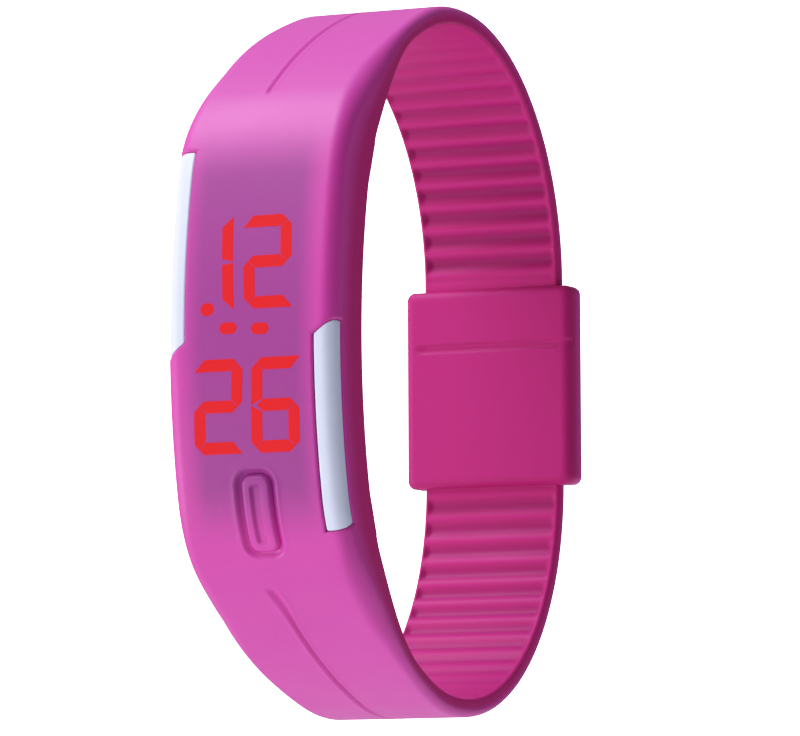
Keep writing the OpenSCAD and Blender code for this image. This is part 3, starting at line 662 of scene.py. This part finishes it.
def lin(c):
    """A linear colour with alpha from one in 0 to 255 sRGB."""
    return tuple(((v / 255 + 0.055) / 1.055) ** 2.4 if v > 10 else v / 255 / 12.92 for v in c) + (1,)


def new_material(name):
    material = bpy.data.materials.new(name)
    material.use_nodes = True
    tree = material.node_tree
    return material, tree, tree.nodes["Principled BSDF"]


def node(tree, kind, **inputs):
    n = tree.nodes.new(kind)
    for k, v in inputs.items():
        n.inputs[k].default_value = v
    return n


def colour_mix(tree, factor, first, second):
    """Mixes two colours; first is a colour or another node's output."""
    mix = tree.nodes.new("ShaderNodeMix")
    mix.data_type = "RGBA"
    if isinstance(first, bpy.types.NodeSocket):
        tree.links.new(first, mix.inputs["A"])
    else:
        mix.inputs["A"].default_value = first
    mix.inputs["B"].default_value = second
    tree.links.new(factor, mix.inputs["Factor"])
    return mix.outputs["Result"]


def bumpy(tree, bsdf, coords, scale, distance):
    noise = node(tree, "ShaderNodeTexNoise", Scale=scale, Detail=3.0)
    tree.links.new(coords, noise.inputs["Vector"])
    bump = node(tree, "ShaderNodeBump", Strength=1.0, Distance=distance)
    tree.links.new(noise.outputs["Fac"], bump.inputs["Height"])
    tree.links.new(bump.outputs["Normal"], bsdf.inputs["Normal"])


def surface(name, light, dark, rough=(0.45, 0.6), scale=300.0, grain=9000.0, distance=1e-5,
            metallic=0.0):
    """Two close colours mixed by noise, with matching roughness variation and a fine grain."""
    material, tree, shader = new_material(name)
    coords = tree.nodes.new("ShaderNodeTexCoord")
    big = node(tree, "ShaderNodeTexNoise", Scale=scale, Detail=4.0, Roughness=0.6)
    tree.links.new(coords.outputs["Object"], big.inputs["Vector"])
    colour = colour_mix(tree, big.outputs["Fac"], light, dark)
    tree.links.new(colour, shader.inputs["Base Color"])
    rough_range = node(tree, "ShaderNodeMapRange", **{"To Min": rough[0], "To Max": rough[1]})
    tree.links.new(big.outputs["Fac"], rough_range.inputs["Value"])
    tree.links.new(rough_range.outputs["Result"], shader.inputs["Roughness"])
    shader.inputs["Metallic"].default_value = metallic
    bumpy(tree, shader, coords.outputs["Object"], grain, distance)
    return material, tree, shader, colour


PINK_A, PINK_B = lin((207, 54, 150)), lin((202, 51, 145))


def silicone(name):
    material, tree, shader, colour = surface(name, PINK_A, PINK_B, rough=(0.42, 0.54), scale=120.0,
                                             grain=7000.0, distance=1.2e-5)
    # the dark module shows through the thin face; the wrist side is painted darker and redder, as shade and
    # pink bounce light inside the loop, and given less specular; the groove mark paints shade into the rib
    # valleys
    for label, other in (("module_tint", (148, 40, 122)), ("wrist_side_shade", (187, 36, 108)),
                         ("groove", (146, 26, 86))):
        at = tree.nodes.new("ShaderNodeAttribute")
        at.attribute_name = label
        colour = colour_mix(tree, at.outputs["Fac"], colour, lin(other))
        if label == "wrist_side_shade":
            dull = node(tree, "ShaderNodeMapRange", **{"To Min": 0.36, "To Max": 0.1})
            tree.links.new(at.outputs["Fac"], dull.inputs["Value"])
            tree.links.new(dull.outputs["Result"], shader.inputs["Specular IOR Level"])
    tree.links.new(colour, shader.inputs["Base Color"])
    return material


def add_tint(ob):
    """How strongly the module shows through: strongest behind the digits, none at the edges."""
    me = ob.data
    points = np.empty(len(me.vertices) * 3)
    me.vertices.foreach_get("co", points)
    points = points.reshape(-1, 3) / MM
    fx = ramp((9.6 - np.abs(points[:, 0])) / 4.0)
    fz = ramp((25.0 - np.abs(points[:, 2] - 0.5)) / 8.0)
    front = ramp((-27.0 - points[:, 1]) / 2.0)
    at = me.attributes.new("module_tint", "FLOAT", "POINT")
    at.data.foreach_set("value", (fx * fz * front).astype(np.float32))


m_band = silicone("band_silicone")
m_clasp = silicone("clasp_silicone")
for ob in (skin_pod, pad):
    add_tint(ob)
for ob in (plug, socket):                         # the clasp's wrist side gets the band's painted shade, and a little painted groove shade
    y = np.array([v.co.y for v in ob.data.vertices]) / MM
    inner = ramp((CLASP_OUT - 1.4 - y) / 1.6)
    for label, amount in (("wrist_side_shade", 1.0), ("groove", 0.2)):
        at = ob.data.attributes.new(label, "FLOAT", "POINT")
        at.data.foreach_set("value", (amount * inner).astype(np.float32))

m_white = surface("trim_white", lin((222, 226, 240)), lin((212, 216, 233)), rough=(0.28, 0.38),
                  scale=200.0, grain=5000.0, distance=4e-6)[0]

m_red, tree, shader, _ = surface("digit_light", lin((120, 10, 12)), lin((112, 8, 12)),
                                 rough=(0.5, 0.6), scale=900.0, grain=8000.0, distance=3e-6)
shader.inputs["Specular IOR Level"].default_value = 0.12
glow = node(tree, "ShaderNodeTexNoise", Scale=700.0, Detail=2.0)
coords = next(n for n in tree.nodes if n.type == "TEX_COORD")
tree.links.new(coords.outputs["Object"], glow.inputs["Vector"])
lit = colour_mix(tree, glow.outputs["Fac"], lin((255, 26, 26)), lin((248, 20, 30)))
tree.links.new(lit, shader.inputs["Emission Color"])
shader.inputs["Emission Strength"].default_value = 0.85

m_shell = surface("module_plastic", lin((222, 222, 226)), lin((210, 210, 216)), scale=150.0)[0]
m_cover = surface("cover_plastic", lin((206, 206, 212)), lin((192, 192, 200)), rough=(0.4, 0.5),
                  scale=250.0, grain=6000.0, distance=1.5e-5)[0]
m_seal = surface("seal_rubber", lin((32, 32, 34)), lin((24, 24, 26)), rough=(0.6, 0.75))[0]
m_steel = surface("screw_steel", lin((190, 190, 194)), lin((160, 160, 166)), rough=(0.22, 0.36),
                  metallic=1.0, scale=900.0, distance=3e-6)[0]
m_spring = surface("spring_steel", lin((205, 205, 210)), lin((178, 178, 184)), rough=(0.2, 0.33),
                   metallic=1.0, scale=500.0, distance=3e-6)[0]
m_mask = surface("mask_plastic", lin((44, 34, 44)), lin((34, 26, 36)), rough=(0.5, 0.65))[0]
m_unlit = surface("unlit_guide", lin((96, 34, 42)), lin((84, 26, 36)), rough=(0.35, 0.5))[0]
m_board = surface("board_green", lin((30, 96, 58)), lin((22, 78, 46)), rough=(0.35, 0.5),
                  scale=1200.0)[0]
m_led = surface("led_body", lin((240, 232, 190)), lin((228, 216, 168)), rough=(0.2, 0.3))[0]
m_chip = surface("chip_black", lin((30, 30, 32)), lin((22, 22, 24)), rough=(0.5, 0.62))[0]
m_can = surface("crystal_can", lin((196, 196, 200)), lin((170, 170, 176)), rough=(0.25, 0.4),
                metallic=1.0)[0]
m_ceramic = surface("chip_ceramic", lin((196, 164, 112)), lin((176, 142, 94)), rough=(0.4, 0.6))[0]
m_cell = surface("cell_steel", lin((200, 200, 204)), lin((176, 176, 182)), rough=(0.22, 0.34),
                 metallic=1.0)[0]
m_brass = surface("contact_metal", lin((216, 186, 106)), lin((196, 164, 88)), rough=(0.2, 0.35),
                  metallic=1.0)[0]
m_film = surface("flex_film", lin((190, 130, 56)), lin((170, 112, 44)), rough=(0.3, 0.45))[0]

for ob in (skin_pod, skin_upper, skin_lower, pad):
    ob.data.materials.append(m_band)
for ob in (plug, socket):
    ob.data.materials.clear()
    ob.data.materials.append(m_clasp)
for ob in (trim_left, trim_right):
    ob.data.materials.append(m_white)
for ob in (digits_h, digits_m, dots, mark):
    ob.data.materials.append(m_red)

CAD_LOOK = {
    "module_shell": m_shell, "back_cover": m_cover, "back_seal": m_seal, "back_screws": m_steel,
    "light_mask": m_mask, "unlit_segments": m_unlit, "circuit_board": m_board,
    "led_chips": m_led, "controller_chip": m_chip, "quartz_crystal": m_can,
    "board_parts": m_ceramic, "coin_cell": m_cell, "battery_clip": m_spring,
    "battery_contact": m_brass, "switch_flex": m_film, "switch_base": m_chip,
    "key_plunger": m_shell, "switch_plunger": m_chip, "plug_tongue": m_spring,
    "plug_strap_pin": m_steel, "socket_strap_pin": m_steel, "latch_springs": m_spring}
for name, mat in CAD_LOOK.items():
    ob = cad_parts[name]
    for k in range(len(ob.material_slots)):
        ob.material_slots[k].material = mat

# ---- riding and replacing ------------------------------------------------------------------------------
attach(skin_pod, "pod")
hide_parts("band_sleeve")


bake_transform(skin_upper)
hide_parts("upper_strap")
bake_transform(skin_lower)
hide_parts("lower_strap")
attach(pad, "touch_key")
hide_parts("touch_pad")
for ob, cad in ((trim_left, "left_side_trim"), (trim_right, "right_side_trim")):
    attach(ob, "pod")
    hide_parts(cad)
for ob, cad in ((digits_h, "hour_digits"), (digits_m, "minute_digits"), (dots, "colon_dots"),
                (mark, "indicator_dot")):
    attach(ob, "pod")
    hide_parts(cad)
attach(plug, "upper_band")
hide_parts("plug_cover_inner", "plug_cover_outer")
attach(socket, "lower_band")
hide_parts("socket_cover_inner", "socket_cover_outer")

# ---- floor, light and camera -----------------------------------------------------------------------------
bm = bmesh.new()
bmesh.ops.create_grid(bm, x_segments=8, y_segments=8, size=4.0)
me = bpy.data.meshes.new("floor")
bm.to_mesh(me)
bm.free()
floor = bpy.data.objects.new("floor", me)
bpy.context.scene.collection.objects.link(floor)
floor.location.z = -0.3
m_floor, _, shader, _ = surface("floor_paper", lin((240, 240, 241)), lin((236, 236, 238)),
                                rough=(0.8, 0.9), scale=3.0, grain=400.0, distance=1e-5)
shader.inputs["Emission Color"].default_value = lin((255, 248, 250))
shader.inputs["Emission Strength"].default_value = 0.22          # a lightly lit table
me.materials.append(m_floor)

world = bpy.data.worlds.new("studio")
world.use_nodes = True
bpy.context.scene.world = world
world_nodes = world.node_tree
world_nodes.nodes.clear()
out = world_nodes.nodes.new("ShaderNodeOutputWorld")
shown = node(world_nodes, "ShaderNodeBackground", Color=(1, 1, 1, 1), Strength=4.0)
cast = node(world_nodes, "ShaderNodeBackground", Color=(0.84, 0.9, 1.1, 1))
where = world_nodes.nodes.new("ShaderNodeTexCoord")
along = world_nodes.nodes.new("ShaderNodeVectorMath")
along.operation = "DOT_PRODUCT"
along.inputs[1].default_value = (-0.62, -0.18, 0.76)      # brightest up and to the left
soft = node(world_nodes, "ShaderNodeMapRange",
            **{"From Min": -0.5, "From Max": 1.0, "To Min": 0.05, "To Max": 0.75})
soft.interpolation_type = "SMOOTHSTEP"
world_nodes.links.new(where.outputs["Generated"], along.inputs[0])
world_nodes.links.new(along.outputs["Value"], soft.inputs["Value"])
world_nodes.links.new(soft.outputs["Result"], cast.inputs["Strength"])
light_path = world_nodes.nodes.new("ShaderNodeLightPath")
view_mix = world_nodes.nodes.new("ShaderNodeMixShader")
world_nodes.links.new(light_path.outputs["Is Camera Ray"], view_mix.inputs["Fac"])
world_nodes.links.new(cast.outputs[0], view_mix.inputs[1])
world_nodes.links.new(shown.outputs[0], view_mix.inputs[2])
world_nodes.links.new(view_mix.outputs[0], out.inputs["Surface"])


def area(name, loc, target, size, power, colour=(1, 1, 1)):
    ld = bpy.data.lights.new(name, "AREA")
    ld.shape, ld.size, ld.energy, ld.color = "DISK", size, power, colour
    ob = bpy.data.objects.new(name, ld)
    bpy.context.scene.collection.objects.link(ob)
    ob.location = loc
    ob.rotation_euler = (Vector(target) - Vector(loc)).to_track_quat("-Z", "Y").to_euler()


area("key_light", (-0.24, -0.62, 0.52), (0, -0.01, 0.0), 0.4, 2.6, (0.97, 0.98, 1.0))
area("top_light", (-0.3, -0.15, 0.66), (0, 0, 0), 0.4, 5.6, (0.84, 0.86, 1.2))
area("left_light", (-0.55, -0.42, -0.14), (0, -0.01, 0.0), 0.3, 2.8, (0.97, 0.98, 1.06))
area("floor_fill", (-0.05, -0.1, -0.27), (0, 0, 0), 0.2, 0.05, (1.0, 0.96, 1.04))

AZ, EL, ROLL = math.radians(24.9), math.radians(-5.62), math.radians(0.27)
DIST, SENSOR, LENS = 0.6698, 36.0, 255.06     # the distance in metres, the others in mm
ahead = Vector((-math.sin(AZ) * math.cos(EL), math.cos(AZ) * math.cos(EL), -math.sin(EL)))
side = Vector((math.cos(AZ), math.sin(AZ), 0))
above = side.cross(ahead)
cam_data = bpy.data.cameras.new("camera")
cam = bpy.data.objects.new("camera", cam_data)
bpy.context.scene.collection.objects.link(cam)
cam_data.sensor_width = SENSOR
cam_data.lens = LENS
right = side * math.cos(ROLL) - above * math.sin(ROLL)
up = side * math.sin(ROLL) + above * math.cos(ROLL)
loc = -ahead * DIST + side * 0.0025 - above * 0.0009
cam.matrix_world = Matrix(((right.x, up.x, -ahead.x, loc.x), (right.y, up.y, -ahead.y, loc.y),
                           (right.z, up.z, -ahead.z, loc.z), (0, 0, 0, 1)))
cam_data.clip_start, cam_data.clip_end = 0.01, 20.0
bpy.context.scene.camera = cam
look = bpy.context.scene.view_settings
look.view_transform = "Standard"
look.use_curve_mapping = True                 # a soft shoulder, as a camera has
tone = look.curve_mapping
WHITE, ROLL_OFF = 2.5, 0.33
tone.white_level = (WHITE, WHITE, WHITE)
shoulder = tone.curves[3]
shoulder.points[0].location = (0, 0)
shoulder.points[1].location = (1, 1)
for v in (0.05, 0.15, 0.3, 0.5, 0.75, 1.0, 1.35, 1.7, 2.1):
    shoulder.points.new(v / WHITE, min(1.0, v / (1 + ROLL_OFF * v)))
tone.update()
